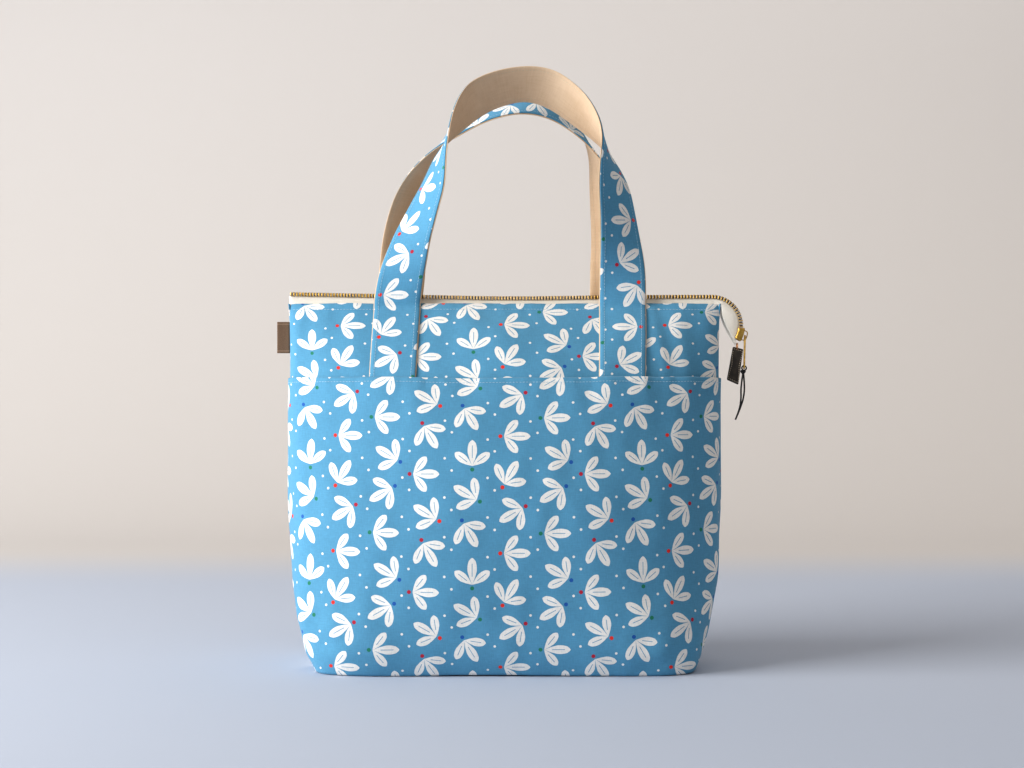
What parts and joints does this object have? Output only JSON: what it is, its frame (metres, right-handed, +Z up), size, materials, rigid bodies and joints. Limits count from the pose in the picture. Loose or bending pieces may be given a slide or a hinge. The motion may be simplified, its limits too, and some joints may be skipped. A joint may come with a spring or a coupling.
{
  "type": "zip-top knitting bag",
  "caption": "Standing printed cotton project bag with a front slip pocket, strap handles and a brass zip whose tail turns down over one corner.",
  "frame": {"origin": "centre of the bottom, on the surface that the bag stands on", "axes": "+Z up; -Y is the pocket side, the front; +X is the end where the zip's tail hangs, to the right seen from the front"},
  "size_m": [0.3957, 0.1578, 0.495],
  "materials": {
    "printed_cotton": null,
    "linen_backing": "natural beige linen canvas, matte",
    "lining_cotton": "plain off-white cotton",
    "base_board": "stiff interlining board",
    "zip_tape": "cream woven zip tape",
    "brass": "worn polished brass",
    "copper": "copper-coloured wire ring",
    "tab_leather": "dark brown-grey leather with a stitched border",
    "waxed_cord": "black waxed cord",
    "label": "brown woven label, blank"
  },
  "bodies": {
    "bag": {"back_lining": "lining_cotton", "back_panel": "printed_cotton", "back_strap_end_left_backing": "linen_backing", "back_strap_end_left_face": "printed_cotton", "back_strap_end_right_backing": "linen_backing", "back_strap_end_right_face": "printed_cotton", "base_board": "base_board", "front_lining": "lining_cotton", "front_panel": "printed_cotton", "front_pocket": "printed_cotton", "front_strap_end_left_backing": "linen_backing", "front_strap_end_left_face": "printed_cotton", "front_strap_end_right_backing": "linen_backing", "front_strap_end_right_face": "printed_cotton", "side_label_back": "label", "side_label_front": "label", "zip_tape_back": "zip_tape", "zip_tape_front": "zip_tape", "zip_teeth_back": "brass", "zip_teeth_front": "brass"},
    "front_handle": {"front_handle_face": "printed_cotton", "front_handle_backing": "linen_backing"},
    "back_handle": {"back_handle_face": "printed_cotton", "back_handle_backing": "linen_backing"},
    "zip_slider": {"slider_body": "brass", "slider_bail": "brass"},
    "zip_pull": {"pull_strip": "brass", "pull_cord_loop": "waxed_cord", "pull_knot": "waxed_cord", "pull_cord_tail_a": "waxed_cord", "pull_cord_tail_b": "waxed_cord"},
    "leather_tab": {"tab_ring": "copper", "leather_tab_front": "tab_leather", "leather_tab_back": "tab_leather"}
  },
  "joints": [
    {"name": "front_handle_fold", "type": "hinge", "parent": "bag", "child": "front_handle", "pos_m": [0, -0.011, 0.302], "axis": [1, 0, 0], "range_deg": [0, 110]},
    {"name": "back_handle_fold", "type": "hinge", "parent": "bag", "child": "back_handle", "pos_m": [0, 0.011, 0.302], "axis": [-1, 0, 0], "range_deg": [0, 110]},
    {"name": "slider_run", "type": "hinge", "parent": "bag", "child": "zip_slider", "pos_m": [0.1745, 0, 0.283], "axis": [0, -1, 0], "range_deg": [0, 80]},
    {"name": "pull_swing", "type": "hinge", "parent": "zip_slider", "child": "zip_pull", "pos_m": [0.2019, 0, 0.2746], "axis": [0, -1, 0], "range_deg": [0, 150]},
    {"name": "tab_swing", "type": "hinge", "parent": "bag", "child": "leather_tab", "pos_m": [0.1953, 0, 0.2682], "axis": [1, 0, 0], "range_deg": [-25, 25]}
  ]
}
